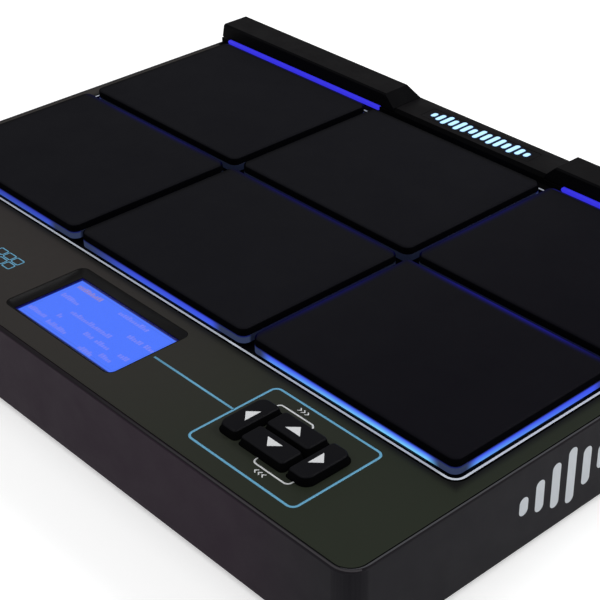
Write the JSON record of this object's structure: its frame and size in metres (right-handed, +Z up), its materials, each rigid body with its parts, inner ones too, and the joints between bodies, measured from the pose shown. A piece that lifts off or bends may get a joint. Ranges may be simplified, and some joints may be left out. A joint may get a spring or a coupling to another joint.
{
  "type": "electronic percussion pad",
  "caption": "Electronic percussion pad with lit rubber striking pads in a flat case, trigger bars on a back ridge, a recessed display, cursor keys and rear connectors.",
  "frame": {"origin": "on the floor, under the middle of the whole part with its back dials", "axes": "+X to the player's right, +Y from the player to the back wall, +Z up"},
  "size_m": [0.3584, 0.2814, 0.0507],
  "materials": {
    "case_plastic": "fine moulded grain",
    "panel_face": "satin charcoal face",
    "trim": "pale satin trim",
    "pad_rubber": "matt black rubber",
    "guide": "frosted, lit blue",
    "bar_rubber": "matt black",
    "emblem": "smoked lens with a lit motif",
    "bezel": "dark frame",
    "window": "clear cover over a lit display",
    "display": "lit display",
    "key": "matt black",
    "knob": "soft black",
    "foot_rubber": "matt",
    "foam": "foam",
    "plate_paint": "black powder coat",
    "steel": "plated",
    "brass": "plain",
    "board": "green board",
    "socket_plastic": "black",
    "socket_shell": "plated"
  },
  "bodies": {
    "case": {"top_cover": "case_plastic", "bottom_cover": "case_plastic", "control_panel": "panel_face", "bay_trim": "trim", "bar_guides": "guide", "emblem_lens": "emblem", "lcd_bezel": "bezel", "lcd_window": "window", "lcd_module": "display", "rubber_feet": "foot_rubber", "pad_foams": "foam", "bar_foams": "foam", "sensor_plate": "plate_paint", "case_screws": "steel", "plate_screws": "steel", "board_screws": "steel", "volume_pots": "steel", "jack_nuts": "steel", "stand_inserts": "brass", "piezo_discs": "brass", "control_board": "board", "main_board": "board", "led_boards": "board", "jack_sockets": "socket_plastic", "aux_socket": "socket_plastic", "midi_socket": "socket_plastic", "dc_inlet": "socket_plastic", "power_switch": "socket_plastic", "key_switches": "socket_plastic", "ribbon_cable": "socket_plastic", "usb_socket": "socket_shell", "card_socket": "socket_shell"},
    "pad_body_front_left": {"pad_front_left": "pad_rubber", "guide_front_left": "guide"},
    "pad_body_front_centre": {"pad_front_centre": "pad_rubber", "guide_front_centre": "guide"},
    "pad_body_front_right": {"pad_front_right": "pad_rubber", "guide_front_right": "guide"},
    "pad_body_rear_left": {"pad_rear_left": "pad_rubber", "guide_rear_left": "guide"},
    "pad_body_rear_centre": {"pad_rear_centre": "pad_rubber", "guide_rear_centre": "guide"},
    "pad_body_rear_right": {"pad_rear_right": "pad_rubber", "guide_rear_right": "guide"},
    "bar_body_left": {"bar_left": "bar_rubber"},
    "bar_body_right": {"bar_right": "bar_rubber"},
    "key_body_left": {"key_left": "key"},
    "key_body_right": {"key_right": "key"},
    "key_body_up": {"key_up": "key"},
    "key_body_down": {"key_down": "key"},
    "power_body": {"power_button": "key"},
    "main_volume": {"main_volume_shaft": "steel", "main_volume_knob": "knob"},
    "phones_volume": {"phones_volume_shaft": "steel", "phones_volume_knob": "knob"}
  },
  "joints": [
    {"name": "strike_pad_front_left", "type": "slide", "parent": "case", "child": "pad_body_front_left", "axis": [0, 0, -1], "range_m": [0, 0.0008], "stiffness_N_per_m": 8000, "springref_m": -0.0002, "deforming": ["pad_foams"]},
    {"name": "strike_pad_front_centre", "type": "slide", "parent": "case", "child": "pad_body_front_centre", "axis": [0, 0, -1], "range_m": [0, 0.0008], "stiffness_N_per_m": 8000, "springref_m": -0.0002, "deforming": ["pad_foams"]},
    {"name": "strike_pad_front_right", "type": "slide", "parent": "case", "child": "pad_body_front_right", "axis": [0, 0, -1], "range_m": [0, 0.0008], "stiffness_N_per_m": 8000, "springref_m": -0.0002, "deforming": ["pad_foams"]},
    {"name": "strike_pad_rear_left", "type": "slide", "parent": "case", "child": "pad_body_rear_left", "axis": [0, 0, -1], "range_m": [0, 0.0008], "stiffness_N_per_m": 8000, "springref_m": -0.0002, "deforming": ["pad_foams"]},
    {"name": "strike_pad_rear_centre", "type": "slide", "parent": "case", "child": "pad_body_rear_centre", "axis": [0, 0, -1], "range_m": [0, 0.0008], "stiffness_N_per_m": 8000, "springref_m": -0.0002, "deforming": ["pad_foams"]},
    {"name": "strike_pad_rear_right", "type": "slide", "parent": "case", "child": "pad_body_rear_right", "axis": [0, 0, -1], "range_m": [0, 0.0008], "stiffness_N_per_m": 8000, "springref_m": -0.0002, "deforming": ["pad_foams"]},
    {"name": "strike_bar_left", "type": "slide", "parent": "case", "child": "bar_body_left", "axis": [0, 0, -1], "range_m": [0, 0.0005], "stiffness_N_per_m": 6000, "springref_m": -0.0002, "deforming": ["bar_foams"]},
    {"name": "strike_bar_right", "type": "slide", "parent": "case", "child": "bar_body_right", "axis": [0, 0, -1], "range_m": [0, 0.0005], "stiffness_N_per_m": 6000, "springref_m": -0.0002, "deforming": ["bar_foams"]},
    {"name": "press_key_left", "type": "slide", "parent": "case", "child": "key_body_left", "axis": [0, 0, -1], "range_m": [0, 0.001], "stiffness_N_per_m": 1000, "springref_m": -0.0003},
    {"name": "press_key_right", "type": "slide", "parent": "case", "child": "key_body_right", "axis": [0, 0, -1], "range_m": [0, 0.001], "stiffness_N_per_m": 1000, "springref_m": -0.0003},
    {"name": "press_key_up", "type": "slide", "parent": "case", "child": "key_body_up", "axis": [0, 0, -1], "range_m": [0, 0.001], "stiffness_N_per_m": 1000, "springref_m": -0.0003},
    {"name": "press_key_down", "type": "slide", "parent": "case", "child": "key_body_down", "axis": [0, 0, -1], "range_m": [0, 0.001], "stiffness_N_per_m": 1000, "springref_m": -0.0003},
    {"name": "press_power", "type": "slide", "parent": "case", "child": "power_body", "axis": [0, -1, 0], "range_m": [0, 0.002], "stiffness_N_per_m": 900, "springref_m": -0.0004},
    {"name": "turn_main_volume", "type": "hinge", "parent": "case", "child": "main_volume", "pos_m": [0.012, 0.12832, 0.0201], "axis": [0, -1, 0], "range_deg": [-150, 150]},
    {"name": "turn_phones_volume", "type": "hinge", "parent": "case", "child": "phones_volume", "pos_m": [-0.014, 0.12832, 0.0201], "axis": [0, -1, 0], "range_deg": [-150, 150]}
  ]
}
